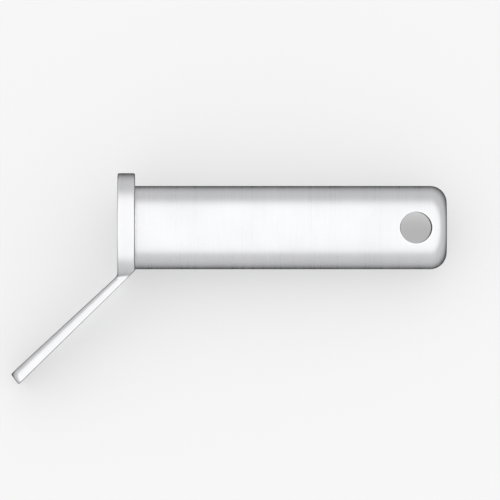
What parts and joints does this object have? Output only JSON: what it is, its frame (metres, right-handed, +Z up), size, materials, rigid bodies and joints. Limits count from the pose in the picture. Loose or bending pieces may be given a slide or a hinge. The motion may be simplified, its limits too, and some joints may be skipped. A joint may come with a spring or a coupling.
{
  "type": "top link pin",
  "caption": "Round steel hitch pin with a collar, a slanting forged handle and a cross hole for a linch pin, lying on its side.",
  "frame": {"origin": "on the surface the pin lies on, under the middle of its box", "axes": "+Z up from the surface; +X nearly along the shank, from the collar toward the free end; the handle points toward -X and -Y"},
  "size_m": [0.1672, 0.081, 0.0417],
  "materials": {
    "steel": "satin"
  },
  "bodies": {
    "root": {"link_pin": "steel"}
  },
  "joints": []
}
